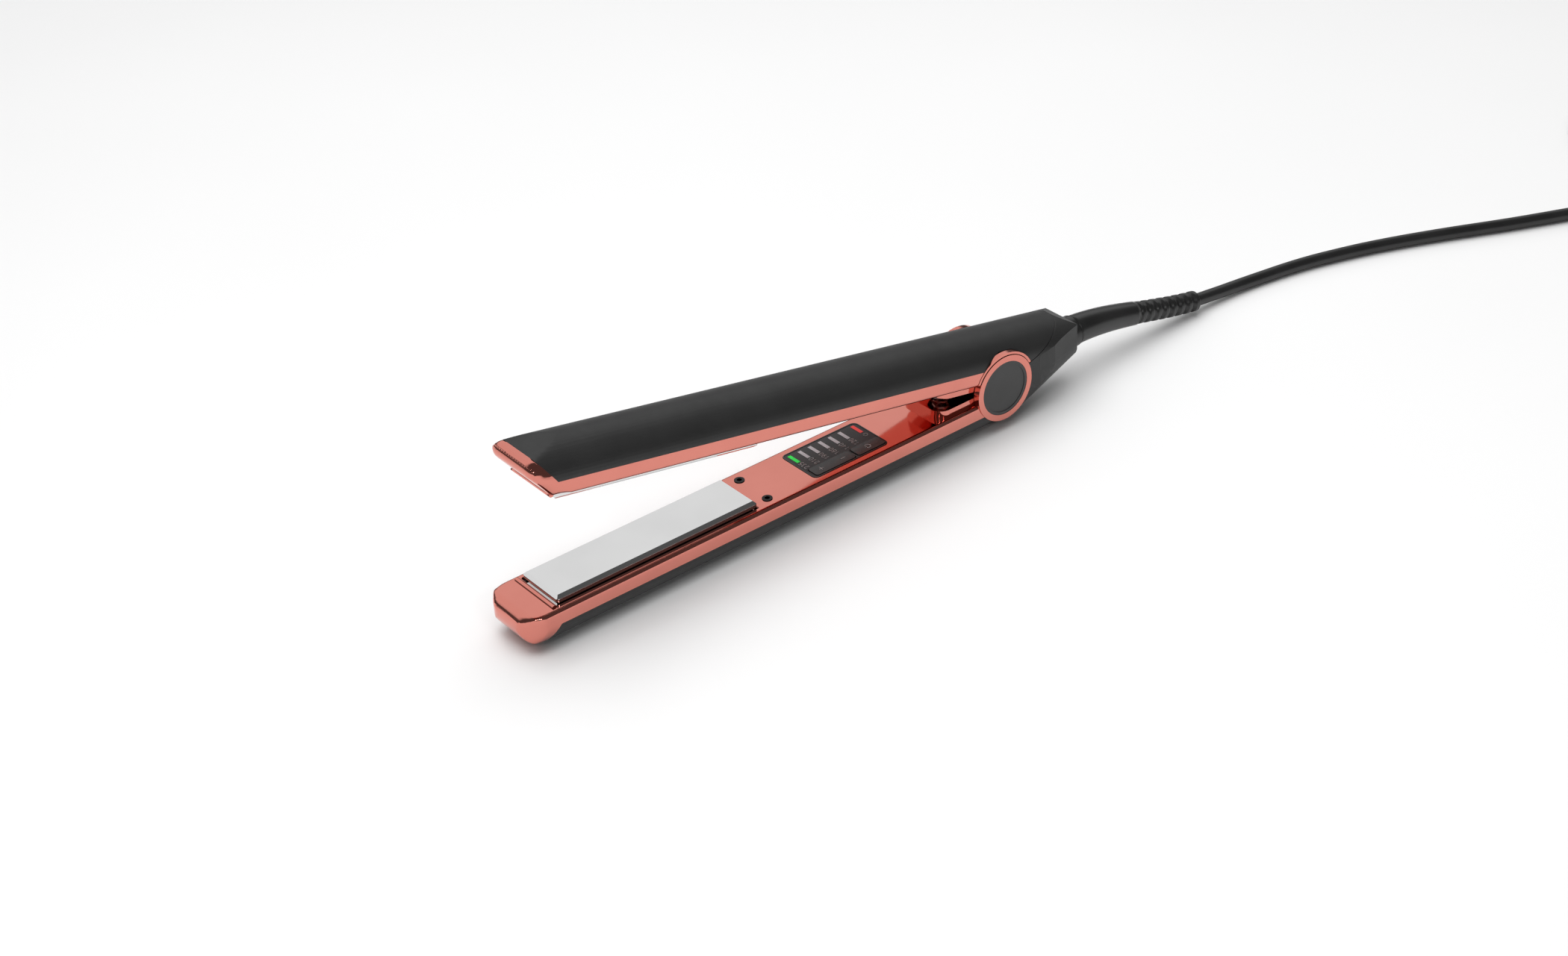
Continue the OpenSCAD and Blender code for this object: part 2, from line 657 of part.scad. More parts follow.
// Round tube through the points p; r is one radius or a radius for each point
module tube(p, r, sides) {
    n = len(p);
    rings = [for (i = [0:n - 1]) let (
        h = heading(p, i), u = level(h), v = cross(h, u), ri = is_list(r) ? r[i] : r
    ) for (k = [0:sides - 1]) p[i] + ri * (cos(360 * k / sides) * u + sin(360 * k / sides) * v)];
    polyhedron(rings, concat(
        [[for (k = [0:sides - 1]) k]],
        [for (i = [0:n - 2], k = [0:sides - 1], half = [0, 1]) let (a = i * sides + k, b = i * sides + (k + 1) % sides)
            half == 0 ? [a, a + sides, b + sides] : [a, b + sides, b]],
        [[for (k = [sides - 1:-1:0]) (n - 1) * sides + k]]
    ), convexity = 10);
}

// Coil spring of the given turns between two seats
module coil(a, b, r, wire, turns) {
    n = turns * 10;
    d = b - a;
    w = unit(d);
    u = unit(cross([0, 1, 0], w));
    v = cross(w, u);
    inset = wire / norm(d);
    tube([for (i = [0:n]) let (t = inset + (1 - 2 * inset) * i / n)
        a + d * t + r * (cos(36 * i) * u + sin(36 * i) * v)], wire, 6);
}

function bezier(p, t) = let (s = 1 - t)
    s * s * s * p[0] + 3 * s * s * t * p[1] + 3 * s * t * t * p[2] + t * t * t * p[3];

// ---- Hinge -----------------------------------------------------------------

module hinge_inserts() color(black_matte) for (s = [-1, 1]) difference() {
    span_y(hinge_x, hinge_z, insert_r, s > 0 ? ear_out - 1.1 : 0.1 - ear_out, s > 0 ? ear_out - 0.1 : 1.1 - ear_out);
    span_y(hinge_x, hinge_z, insert_r - 1.4, s > 0 ? ear_out - 0.35 : -half_w - 1, s > 0 ? half_w + 1 : 0.35 - ear_out);
}

module hinge_pins() color(steel) for (s = [-1, 1])
    span_y(hinge_x, hinge_z, pin_r, s > 0 ? 9.5 : 1.1 - ear_out, s > 0 ? ear_out - 1.1 : -9.5);

module opening_spring() color(steel) {
    up = hinge_z + (cup_d + half_gap) * cos(open_angle) - spring_seat_rel * sin(open_angle);
    over = hinge_x + spring_seat_rel * cos(open_angle) + (cup_d + half_gap) * sin(open_angle);
    coil([spring_seat_x, 0, face_z - cup_d + 1.6], [over - 0.3, 0, up - 2], 3.3, 0.5, 7);
}

// Wires wound round the hinge axis inside the knuckle
module hinge_leads() color("#b23a2e") tube([for (i = [0:24]) let (a = 90 - 30 * i)
    [hinge_x + 6 * cos(a), -7 + 0.58 * i, hinge_z + 6 * sin(a)]], 0.7, 8);

// Wires from the knuckle to the heater of the upper arm
module upper_leads() upper() {
    color("#b23a2e") for (s = [-1, 1]) tube([
        [hinge_x - 6, lead_y + s * 0.8, 3.9], [hinge_x - 14, lead_y + s * 0.8, 4.2],
        [hinge_x - 40, lead_y + s * 0.8, 8], [hinge_x - 118, lead_y * 0.4 + s * 1.4, 8.1],
        [plate_x + 50, s * 1.6, 8.1], [plate_x + 20, s * 1.6, 8.1]
    ], 0.6, 8);
}

// ---- Control panel ---------------------------------------------------------

module panel_plan(t) rounded(panel_x - panel_l / 2 + t, panel_x + panel_l / 2 - t,
    -panel_w / 2 + t, panel_w / 2 - t, 2.6 - t);

module panel_bezel() color("#141416") lower() difference() {
    translate([0, 0, -0.2]) linear_extrude(liner_t + 0.2) panel_plan(0);
    translate([0, 0, -1]) linear_extrude(liner_t + 2) panel_plan(bezel_t);
}

module key_plan(x0, x1, t) rounded(x0 - t, x1 + t, key_y0 - t, key_y1 + t, 1.2);

module light_plan(x) translate([x - light_w / 2, light_y - light_l / 2]) square([light_w, light_l]);

module control_panel() color(panel_grey) lower() difference() {
    union() {
        linear_extrude(liner_t) panel_plan(bezel_t);
        for (x = [-18.4, 18.4], y = [-2.4, 10.4]) translate([panel_x + x, y, 1]) cylinder(r = 0.9, h = board_d - 1);
        for (y = [pivot_y0, pivot_y1]) block([rocker_x - 1.6, y, 1], [rocker_x + 1.6, y + 0.8, pivot_d + 1.4]);
    }
    translate([0, 0, -1]) linear_extrude(liner_t + 1.5) key_plan(rocker_x0, rocker_x1, 0.3);
    translate([0, 0, -1]) linear_extrude(liner_t + 1.5) key_plan(power_x0, power_x1, 0.3);
    translate([0, 0, -1]) linear_extrude(liner_t + 1.5) {
        for (i = [0:5]) light_plan(light_x0 + i * light_pitch);
        light_plan(red_x);
    }
    translate([rocker_x, 0, pivot_d]) rotate([90, 0, 0]) cylinder(r = 0.75, h = 30, center = true);
}

module light_bar(x) translate([0, 0, -0.1]) linear_extrude(liner_t + 0.1) light_plan(x);

module lights_white() color("#e8e8ea") lower() for (i = [1:5]) light_bar(light_x0 + i * light_pitch);

module light_green() color("#10e650") lower() light_bar(light_x0);

module light_red() color("#f02020") lower() light_bar(red_x);

module main_board() color(board_green) lower() block([panel_x - 20, -11.4, board_d], [panel_x + 20, 11.6, board_d + 1.6]);

// Switches, light chips and a controller chip soldered to the board
module board_parts() color("#2a2a2c") lower() {
    for (x = [rocker_x - 7, rocker_x + 7, power_x]) {
        block([x - 2.2, key_y - 2.2, 4.2], [x + 2.2, key_y + 2.2, board_d]);
        translate([x, key_y, 3.1]) cylinder(r = 1.2, h = 1.2, $fn = 32);
    }
    for (x = concat([for (i = [0:5]) light_x0 + i * light_pitch], [red_x]))
        block([x - 0.8, light_y - 1.6, board_d - 0.8], [x + 0.8, light_y + 1.6, board_d]);
    block([panel_x - 4, -7, board_d + 1.6], [panel_x + 6, 3, board_d + 2.8]);
    translate([panel_x + 14, 5, board_d + 1.6]) cylinder(r = 2.5, h = 5, $fn = 32);
}

// Plus-minus key that rocks on a cross pin
module rocker_key() color("#303033") lower() {
    translate([0, 0, key_top]) linear_extrude(1.9 - key_top) key_plan(rocker_x0, rocker_x1, 0);
    block([rocker_x - 1.3, key_y - 1.6, 1.8], [rocker_x + 1.3, key_y + 1.6, pivot_d + 1.2]);
    translate([rocker_x, pivot_y0 + 0.05, pivot_d]) rotate([-90, 0, 0]) cylinder(r = 0.7, h = pivot_y1 + 0.75 - pivot_y0 - 0.05);
    for (x = [-7, 7]) translate([rocker_x + x, key_y, 1.8]) cylinder(r = 1, h = 0.6, $fn = 32);
}

// Push key with a flange that stops it under the panel
module power_key() color("#303033") lower() {
    translate([0, 0, key_top]) linear_extrude(2.2 - key_top) key_plan(power_x0, power_x1, 0);
    block([power_x0 + 2, key_y0 + 0.4, liner_t + 0.1], [power_x1 + 0.9, key_y1 - 0.8, 2.2]);
    translate([power_x, key_y, 2.1]) cylinder(r = 1, h = 0.3, $fn = 32);
}

// Wires from the swivel under the knuckle to the board, and on to the lower heater
module lower_leads() {
    color("#b23a2e") for (s = [-1, 1]) tube([
        [swivel_x - 9, s * 1.8, 20], [swivel_x - 20, s * 2, 15], [hinge_x + 16, s * 2, 8.2],
        [hinge_x, s * 2, 7], [hinge_x - 20, s * 2, 7.2], [panel_x + 22, s * 2, 9], [panel_x + 12, s * 2 - 8, 10.1]
    ], 0.6, 8);
    lower() color("#b23a2e") for (s = [-1, 1]) tube([
        [plate_x + 20, s * 1.6, 8.1], [plate_x + 52, s * 1.6, 8.1], [panel_x - 30, s * 1.6, 8.6],
        [panel_x - 17, s * 1.6, 8.3]
    ], 0.6, 8);
}

// ---- Swivel and strain relief ----------------------------------------------

module swivel() color(black_matte) translate([hinge_x, 0, hinge_z]) rotate([0, 90, 0]) difference() {
    union() {
        translate([0, 0, tail_l - 7.35]) cylinder(r = collar_r + 1.1, h = 3.2);
        translate([0, 0, tail_l - 5]) cylinder(r = collar_r - 1, h = 6);
        translate([0, 0, tail_l + 0.3]) cylinder(r = collar_r, h = 4.3);
    }
    translate([0, 0, tail_l - 8]) cylinder(r = 3.4, h = 12);
}

// Plain tapered sleeve from the collar to the first rib
module cord_sleeve() color(black_matte) {
    n = 10;
    tube([for (i = [0:n]) bezier(relief_path, sleeve_end * i / n)], [for (i = [0:n]) 7 - 1.35 * i / n], 24);
}

// Ribbed strain relief: one swept body that steps out at each rib
module strain_relief() color(black_matte) {
    first = sleeve_end;
    step = (1 - first) / rib_count;
    stops = [0, 0.3, 0.34, 0.82, 0.86];
    steps = [0, 0, 1, 1, 0];
    tube(
        concat([for (i = [0:rib_count - 1], k = [0:4]) bezier(relief_path, first + step * (i + stops[k]))], [bezier(relief_path, 1)]),
        concat([for (i = [0:rib_count - 1], k = [0:4]) let (c = 4.6 - 0.9 * i / rib_count) steps[k] > 0 ? relief_r - 0.05 * i : c], [3.7]),
        20
    );
}

// ---- Cord ------------------------------------------------------------------

// Free cord: from the strain relief to the hank, then from the hank to the plug
module cord() color(black_matte) {
    tube(cord_to_hank, cord_d / 2, 10);
    tube(cord_to_plug, cord_d / 2, 10);
}

// Outline of the hank: round ends and two hollow sides
module hank_plan() difference() {
    union() {
        for (x = [hank_x0, hank_x1]) translate([x, hank_y]) circle(hank_r);
        translate([hank_x0, hank_y - hank_r + 0.5]) square([hank_x1 - hank_x0, 2 * hank_r - 1]);
    }
    for (s = [-1, 1]) translate([hank_mid, hank_y + s * (waist_w + waist_r)]) circle(waist_r);
}

module cord_hank() color(black_matte) linear_extrude(hank_h) hank_plan();

// Strap over the waist of the hank
module hank_tie() color("#1c1c1e") difference() {
    translate([hank_mid - 5, hank_y - waist_w - 1.5, 0]) cube([10, 2 * waist_w + 3, hank_h + 1.2]);
    translate([hank_mid - 6, hank_y - waist_w - 0.11, -1]) cube([12, 2 * waist_w + 0.22, hank_h + 1]);
}

module plug() color(black_matte) {
    difference() {
        intersection() {
            translate([0, 0, 0]) linear_extrude(plug_h) rounded(plug_x0, plug_x1, plug_y - 13, plug_y + 13, 4);
            along_x(plug_x0 - 1, plug_x1 + 1) rounded(plug_y - 13, plug_y + 13, 0, plug_h, 4);
        }
        for (s = [-1, 1]) translate([plug_x1 - 8, plug_y + s * 9.3, plug_h / 2]) rotate([0, 90, 0]) cylinder(r = 1.6, h = 9);
    }
    translate([plug_x0 + 0.5, plug_y, plug_h / 2]) rotate([0, -90, 0]) cylinder(r1 = 5, r2 = 4.2, h = 9.5);
}

module plug_pins() color(brass) for (s = [-1, 1]) translate([plug_x1, plug_y + s * 9.3, plug_h / 2]) rotate([0, 90, 0]) {
    cylinder(r = 2, h = 18);
    translate([0, 0, -8]) cylinder(r = 1.6, h = 8.01);
    translate([0, 0, 17.99]) cylinder(r1 = 2, r2 = 1.2, h = 1.01);
}

lower_cover();
tail_cap();
lower_liner();
hinge_inserts();
hinge_pins();
opening_spring();
lower_carrier();
lower_screws();
panel_bezel();
control_panel();
lights_white();
light_green();
light_red();
main_board();
board_parts();
lower_leads();
lower_springs();
lower_plate();
lower_heater();
lower_clamp();
lower_sensor();
rocker_key();
power_key();
upper_cover();
upper_liner();
upper_carrier();
upper_screws();
upper_leads();
hinge_leads();
upper_springs();
upper_plate();
upper_heater();
upper_clamp();
upper_sensor();
swivel();
cord_sleeve();
strain_relief();
cord();
cord_hank();
hank_tie();
plug();
plug_pins();
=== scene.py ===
"""Looks of the flat iron: materials, cord, printed marks, lights and camera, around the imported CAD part."""

import json
from math import cos, pi, radians, sin, sqrt

import bmesh
import bpy
from mathutils import Matrix, Quaternion, Vector


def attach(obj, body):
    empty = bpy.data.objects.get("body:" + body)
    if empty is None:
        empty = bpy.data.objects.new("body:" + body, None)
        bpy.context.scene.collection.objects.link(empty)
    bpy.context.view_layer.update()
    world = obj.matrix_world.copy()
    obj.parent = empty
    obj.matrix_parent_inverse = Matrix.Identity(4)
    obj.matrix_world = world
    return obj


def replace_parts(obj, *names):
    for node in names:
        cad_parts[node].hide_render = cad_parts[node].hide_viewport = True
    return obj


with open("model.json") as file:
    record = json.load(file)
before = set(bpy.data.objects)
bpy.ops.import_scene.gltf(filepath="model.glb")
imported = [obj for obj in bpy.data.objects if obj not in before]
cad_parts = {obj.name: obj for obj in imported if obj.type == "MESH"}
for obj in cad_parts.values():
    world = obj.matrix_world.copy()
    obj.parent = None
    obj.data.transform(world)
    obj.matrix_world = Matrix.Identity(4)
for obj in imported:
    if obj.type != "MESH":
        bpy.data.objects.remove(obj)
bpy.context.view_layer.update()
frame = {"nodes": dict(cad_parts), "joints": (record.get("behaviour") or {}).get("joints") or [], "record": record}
NODES = frame["nodes"]
MM = 0.001

# ---- Places taken from the frame, in millimetres ------------------------------

HINGE = next(j for j in frame["joints"] if j["name"] == "arm_hinge")
HINGE_X, HINGE_Z = HINGE["pos_m"][0] * 1000, HINGE["pos_m"][2] * 1000
OPEN = radians(10.7)             # angle between the arms at rest
HALF_GAP = 3.4                   # from the hinge axis to either arm's inner face
FACE_Z = HINGE_Z - HALF_GAP      # inner face of the lower arm


def mm(*p):
    """A point given in millimetres, in metres."""
    return Vector(p) * MM


# ---- Camera --------------------------------------------------------------------

CAMERA_AT = (-0.6155, -0.7529, 0.6218)
CAMERA_AZIMUTH, CAMERA_ELEVATION, CAMERA_ROLL = 36.716, 32.793, -3.629   # degrees


def add_camera():
    """The photograph's viewpoint: a 60 mm lens, front left, from above, with a slight roll."""
    data = bpy.data.cameras.new("Camera")
    data.lens, data.sensor_width = 60, 36
    data.clip_start, data.clip_end = 0.05, 50
    camera = bpy.data.objects.new("Camera", data)
    bpy.context.scene.collection.objects.link(camera)
    az, el = radians(CAMERA_AZIMUTH), radians(CAMERA_ELEVATION)
    view = Vector((sin(az) * cos(el), cos(az) * cos(el), -sin(el)))
    camera.location = CAMERA_AT
    turn = view.to_track_quat("-Z", "Y") @ Quaternion((0, 0, 1), radians(CAMERA_ROLL))
    camera.rotation_euler = turn.to_euler()
    bpy.context.scene.camera = camera


# ---- Materials -----------------------------------------------------------------

class Shader:
    """A node material under construction, with short calls for the parts that repeat."""

    def __init__(self, name):
        self.m = bpy.data.materials.new(name)
        self.m.use_nodes = True
        self.t = self.m.node_tree
        self.p = self.t.nodes["Principled BSDF"]
        self.at = self.t.nodes.new("ShaderNodeTexCoord").outputs["Object"]

    def set(self, **values):
        for key, value in values.items():
            self.p.inputs[key.replace("_", " ")].default_value = value
        return self

    def noise(self, scale, detail=2, rough=0.5, stretch=None):
        at = self.at
        if stretch:
            mapping = self.t.nodes.new("ShaderNodeMapping")
            mapping.inputs["Scale"].default_value = stretch
            self.t.links.new(at, mapping.inputs["Vector"])
            at = mapping.outputs["Vector"]
        n = self.t.nodes.new("ShaderNodeTexNoise")
        n.inputs["Scale"].default_value = scale
        n.inputs["Detail"].default_value = detail
        n.inputs["Roughness"].default_value = rough
        self.t.links.new(at, n.inputs["Vector"])
        return n.outputs["Fac"]

    def ramp(self, fac, low, high, a, b):
        """Colour a up to low, then a blend to b at high."""
        r = self.t.nodes.new("ShaderNodeValToRGB")
        for e, at, c in zip(r.color_ramp.elements, (low, high), (a, b)):
            e.position, e.color = at, (*c, 1)
        self.t.links.new(fac, r.inputs["Fac"])
        return r.outputs["Color"]

    def colour(self, socket):
        self.t.links.new(socket, self.p.inputs["Base Color"])
        return self

    def roughness(self, fac, low, high):
        r = self.t.nodes.new("ShaderNodeMapRange")
        r.inputs["To Min"].default_value, r.inputs["To Max"].default_value = low, high
        self.t.links.new(fac, r.inputs["Value"])
        self.t.links.new(r.outputs["Result"], self.p.inputs["Roughness"])
        return self

    def bump(self, height, depth, strength=1.0):
        b = self.t.nodes.new("ShaderNodeBump")
        b.inputs["Strength"].default_value = strength
        b.inputs["Distance"].default_value = depth
        self.t.links.new(height, b.inputs["Height"])
        self.t.links.new(b.outputs["Normal"], self.p.inputs["Normal"])
        return self


def moulded(name, dark, light, rough, grain, depth, **extra):
    """Moulded plastic or rubber: cloudy tone, fine grain in the surface, uneven gloss."""
    s = Shader(name).set(**extra)
    s.colour(s.ramp(s.noise(60, 3), 0.35, 0.7, dark, light))
    s.roughness(s.noise(180, 4), rough - 0.05, rough + 0.06)
    s.bump(s.noise(grain, 3, 0.6), depth)
    return s.m


def metal(name, dark, light, rough, wave, depth, stretch=None, **extra):
    """Metal or metal-like plating: faint flow in the finish and a slow ripple in the reflections."""
    s = Shader(name).set(Metallic=1.0, **extra)
    s.colour(s.ramp(s.noise(40, 3), 0.3, 0.75, dark, light))
    s.roughness(s.noise(300, 3, stretch=stretch), rough - 0.03, rough + 0.04)
    s.bump(s.noise(wave, 2, stretch=stretch), depth)
    return s.m


def glowing(name, colour, strength):
    """Frosted light window with a faintly uneven glow."""
    s = Shader(name).set(Roughness=0.35)
    tone = s.ramp(s.noise(900, 2), 0.3, 0.7, [c * 0.85 for c in colour], colour)
    s.colour(tone)
    s.t.links.new(tone, s.p.inputs["Emission Color"])
    s.p.inputs["Emission Strength"].default_value = strength
    return s.m


def grey(v, tint=0.0):
    """A grey of brightness v, drawn towards blue by tint."""
    return (v, v * (1 + tint * 0.5), v * (1 + tint))


MAT = {
    "shell_black": moulded("shell_black", grey(0.018), grey(0.022), 0.48, 2600, 0.00001,
                           Specular_IOR_Level=0.45),
    "insert_black": moulded("insert_black", grey(0.03), grey(0.038), 0.4, 2600, 0.000008),
    "rose_gold": metal("rose_gold", (0.66, 0.225, 0.18), (0.70, 0.25, 0.20), 0.09, 60, 0.00002),
    "plate_ceramic": metal("plate_ceramic", grey(0.70), grey(0.74), 0.07, 160, 0.000004,
                           stretch=(0.2, 1, 1)),
    "pin_steel": metal("pin_steel", grey(0.5), grey(0.6), 0.3, 900, 0.00001),
    "spring_steel": metal("spring_steel", grey(0.45), grey(0.58), 0.28, 900, 0.00001),
    "carrier_black": moulded("carrier_black", grey(0.03), grey(0.04), 0.55, 1800, 0.00002),
    "screw_black": metal("screw_black", grey(0.02), grey(0.04), 0.3, 1500, 0.00001),
    "bezel_black": moulded("bezel_black", grey(0.003), grey(0.006), 0.16, 900, 0.000004),
    "panel_grey": moulded("panel_grey", grey(0.048, 0.05), grey(0.056, 0.05), 0.45, 3000, 0.000006,
                          Specular_IOR_Level=0.3),
    "light_white": glowing("light_white", (0.60, 0.59, 0.62), 0.05),
    "light_green": glowing("light_green", (0.0, 0.72, 0.05), 0.35),
    "light_red": glowing("light_red", (0.8, 0.02, 0.015), 0.35),
    "board_green": moulded("board_green", (0.01, 0.12, 0.04), (0.02, 0.2, 0.07), 0.3, 700, 0.00003),
    "component_black": moulded("component_black", grey(0.02), grey(0.03), 0.5, 1500, 0.00002),
    "wire_red": moulded("wire_red", (0.35, 0.02, 0.015), (0.45, 0.04, 0.02), 0.45, 900, 0.00002),
    "heater_ceramic": moulded("heater_ceramic", (0.72, 0.68, 0.6), (0.8, 0.76, 0.68), 0.5, 1200, 0.00002),
    "key_black": moulded("key_black", grey(0.022, 0.04), grey(0.028, 0.04), 0.2, 2000, 0.000005,
                         Specular_IOR_Level=0.4),
    "swivel_black": moulded("swivel_black", grey(0.014), grey(0.02), 0.3, 2000, 0.00001),
    "relief_rubber": moulded("relief_rubber", grey(0.012), grey(0.018), 0.3, 1500, 0.00001),
    "cord_rubber": moulded("cord_rubber", grey(0.012), grey(0.018), 0.34, 1500, 0.00001),
    "tie_black": moulded("tie_black", grey(0.012), grey(0.02), 0.7, 2500, 0.00008),
    "plug_black": moulded("plug_black", grey(0.014), grey(0.02), 0.35, 2200, 0.00001),
    "pin_brass": metal("pin_brass", (0.62, 0.5, 0.28), (0.7, 0.58, 0.36), 0.2, 500, 0.00001),
    "print_white": moulded("print_white", grey(0.5), grey(0.58), 0.45, 3000, 0.000004),
}


def paint(obj, slot):
    """Gives an object the material of the given slot as its only material."""
    obj.data.materials.clear()
    obj.data.materials.append(MAT[slot])


def paint_cad():
    """Paints every node of the frame with the material that the record gives it."""
    slots = {s["node"]: s["material_slot"] for s in frame["record"]["subparts"]}
    for node, obj in NODES.items():
        paint(obj, slots[node])


# ---- Mesh helpers ----------------------------------------------------------------

def link(name, data, slot, body):
    """Adds an object to the scene with its material, riding on a body."""
    obj = bpy.data.objects.new(name, data)
    bpy.context.scene.collection.objects.link(obj)
    paint(obj, slot)
    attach(obj, body)
    return obj


def sweep(points, radii, sides):
    """A smooth closed tube mesh through points that lie in one upright plane, with a radius at each."""
    mesh, bm, rings = bpy.data.meshes.new("sweep"), bmesh.new(), []
    for i, p in enumerate(points):
        along = (points[min(i + 1, len(points) - 1)] - points[max(i - 1, 0)]).normalized()
        side = Vector((0, 1, 0))
        up = along.cross(side)
        rings.append([bm.verts.new((p + radii[i] * (side * cos(a) + up * sin(a))) * MM)
                      for a in (2 * pi * k / sides for k in range(sides))])
    for a, b in zip(rings, rings[1:]):
        for k in range(sides):
            bm.faces.new((a[k], a[(k + 1) % sides], b[(k + 1) % sides], b[k]))
    bm.faces.new(reversed(rings[0]))
    bm.faces.new(rings[-1])
    bmesh.ops.recalc_face_normals(bm, faces=bm.faces)
    for f in bm.faces:
        f.smooth = len(f.verts) == 4
    bm.to_mesh(mesh)
    bm.free()
    return mesh


def arc(cx, cy, rx, ry, a0, a1, n=10):
    """Points along part of an ellipse, angles in degrees."""
    angles = [radians(a0 + (a1 - a0) * i / n) for i in range(n + 1)]
    return [(cx + rx * cos(a), cy + ry * sin(a)) for a in angles]


def strokes(name, lines, place, right, up, width, slot, body):
    """Printed marks: thin raised lines drawn in (right, up) millimetres about a place."""
    curve = bpy.data.curves.new(name, "CURVE")
    curve.dimensions = "3D"
    curve.bevel_depth = width / 2 * MM
    curve.bevel_resolution = 1
    for line in lines:
        spline = curve.splines.new("POLY")
        spline.points.add(len(line) - 1)
        for point, (a, b) in zip(spline.points, line):
            point.co = (*((Vector(place) + a * Vector(right) + b * Vector(up)) * MM), 1)
    return link(name, curve, slot, body)


# ---- Rounded noses -----------------------------------------------------------------
# The shells are copied from the frame, cut finely near the nose, and their crossing edges rolled over.
# Everything here is in millimetres of one arm: u behind the tip, y across, d below the inner face.

NOSE_X, HALF_W, SHUT_GAP = -197.2, 16.3, 2 * HALF_GAP
SEAM_D, SIDE_R, SIDE_Y, CROWN_R, CROWN_D = 6.8, 9.2, 7.1, 19.1, -0.1
LIP_R, FRONT_D, FRONT_R, SWEEP_U, SWEEP_D, SWEEP_R = 5, 6.3, 9.12, 34, -67.5, 87
BEAK_R, BEAK_U, BEAK_D, FOOT_U = 4.2, 8.2, 11.4, 14.6
FOOT_N = (-0.669, -0.743)        # outward normal of the beak's underside
BACK_N = (0.955, 0.2966)         # splits the beak's underside from its rounded tip
ROLL_FRONT, ROLL_FACE = 8.0, 4.2  # radii of the rolled edges, at the front and at the inner face
ROLL_BEAK = 3.7                  # largest roll on the beak, under half its thickness
ROLL_FADE = 13                   # the roll fades out over this distance
NOSE_END = 40                    # the fine cuts stop here
CUT = 0.8                        # spacing of the fine cuts
MOVED = 0.02                     # less than this doesn't count as moved
SEAM_ANGLE, SHARP_ANGLE = radians(75), radians(32)


def smooth(t):
    """Eases from 0 to 1 as t goes from 0 to 1."""
    t = min(max(t, 0), 1)
    return t * t * (3 - 2 * t)


def disc(a, b, ca, cb, r):
    """Depth inside a circle, and the outward direction."""
    x, y = a - ca, b - cb
    far = max(sqrt(x * x + y * y), 1e-6)
    return r - far, (x / far, y / far)


def profile_depth(u, d, beaked):
    """Depth inside an arm's side outline, and the outward (u, d) direction."""
    best = (d, (0.0, -1.0))
    top = disc(u, d, SWEEP_U, SWEEP_D, SWEEP_R)
    if beaked:
        foot = -((u - FOOT_U) * FOOT_N[0] + d * FOOT_N[1])
        x, y = u - BEAK_U, d - BEAK_D
        if x * FOOT_N[1] - y * FOOT_N[0] > 0 and x * BACK_N[0] + y * BACK_N[1] < 0:
            return disc(u, d, BEAK_U, BEAK_D, BEAK_R)
        return min(best, top, (foot, FOOT_N))
    if u < LIP_R and d < LIP_R:
        return disc(u, d, LIP_R, LIP_R, LIP_R)
    x, y = u - FRONT_R, d - FRONT_D
    if d > FRONT_D and x * (SWEEP_D - FRONT_D) - y * (SWEEP_U - FRONT_R) > 0:
        return min(best, disc(u, d, FRONT_R, FRONT_D, FRONT_R))
    front = (u, (-1.0, 0.0)) if d <= FRONT_D else top
    return min(best, front)


def section_depth(y, d):
    """Depth inside an arm's cross-section, leaving out the inner face, and the outward (y, d) direction."""
    side = 1.0 if y >= 0 else -1.0
    if d <= SEAM_D:
        return HALF_W - abs(y), (side, 0.0)
    if abs(y) > SIDE_Y and (abs(y) - SIDE_Y) * (SEAM_D - CROWN_D) > (d - SEAM_D) * SIDE_Y:
        far, n = disc(abs(y), d, SIDE_Y, SEAM_D, SIDE_R)
        return far, (n[0] * side, n[1])
    return disc(y, d, 0, CROWN_D, CROWN_R)


def rolled(u, y, d, beaked):
    """Where a point of an arm's shell goes when the edges of the nose are rolled over."""
    if d < -0.05 or u > NOSE_END:
        return u, y, d
    g1, n1 = profile_depth(u, d, beaked)
    g2, n2 = section_depth(y, d)
    if beaked:
        tip = BEAK_U - BEAK_R + max(BEAK_D - d, 0) * 0.93
    else:
        tip = 0
    reach = (u - tip) * smooth((FRONT_D + 6 - d) / 6)
    front = smooth(max(-n1[0], n1[1]) * 1.2)
    r = (ROLL_FACE + (ROLL_FRONT - ROLL_FACE) * front) * (1 - smooth((reach - 2) / ROLL_FADE))
    if beaked:
        r = min(r, ROLL_BEAK)
    a, b, c = r - g1, r - g2, n1[1] * n2[1]
    if r < 0.4 or a <= 0 or b <= 0 or abs(c) > 0.97:
        return u, y, d
    p, q = (a - b * c) / (1 - c * c), (b - a * c) / (1 - c * c)
    if p <= 0 or q <= 0:
        return u, y, d
    v = Vector((p * n1[0], q * n2[0], p * n1[1] + q * n2[1]))
    over = v.length - r
    if over <= 0:
        return u, y, d
    v.normalize()
    return u - v.x * over, y - v.y * over, d - v.z * over


def cut_finely(bm):
    """Cuts a shell on a grid of planes near its nose, so that its edges can be rolled over smoothly."""
    cuts = [((k * CUT, 0, 0), (1, 0, 0)) for k in range(round(NOSE_END / CUT), 0, -1)]
    cuts += [((0, k * CUT, 0), (0, 1, 0)) for k in range(-20, 21)]
    cuts += [((0, 0, k * CUT), (0, 0, 1)) for k in range(1, 24)]
    for place, normal in cuts:
        faces = list(bm.faces)
        if normal[0] == 0 or place[0] < NOSE_END:
            faces = [f for f in faces if max(v.co.x for v in f.verts) <= NOSE_END + 0.01]
        edges = {e for f in faces for e in f.edges}
        verts = {v for f in faces for v in f.verts}
        bmesh.ops.bisect_plane(bm, geom=[*faces, *edges, *verts], dist=0.0005, plane_co=place,
                               plane_no=normal)


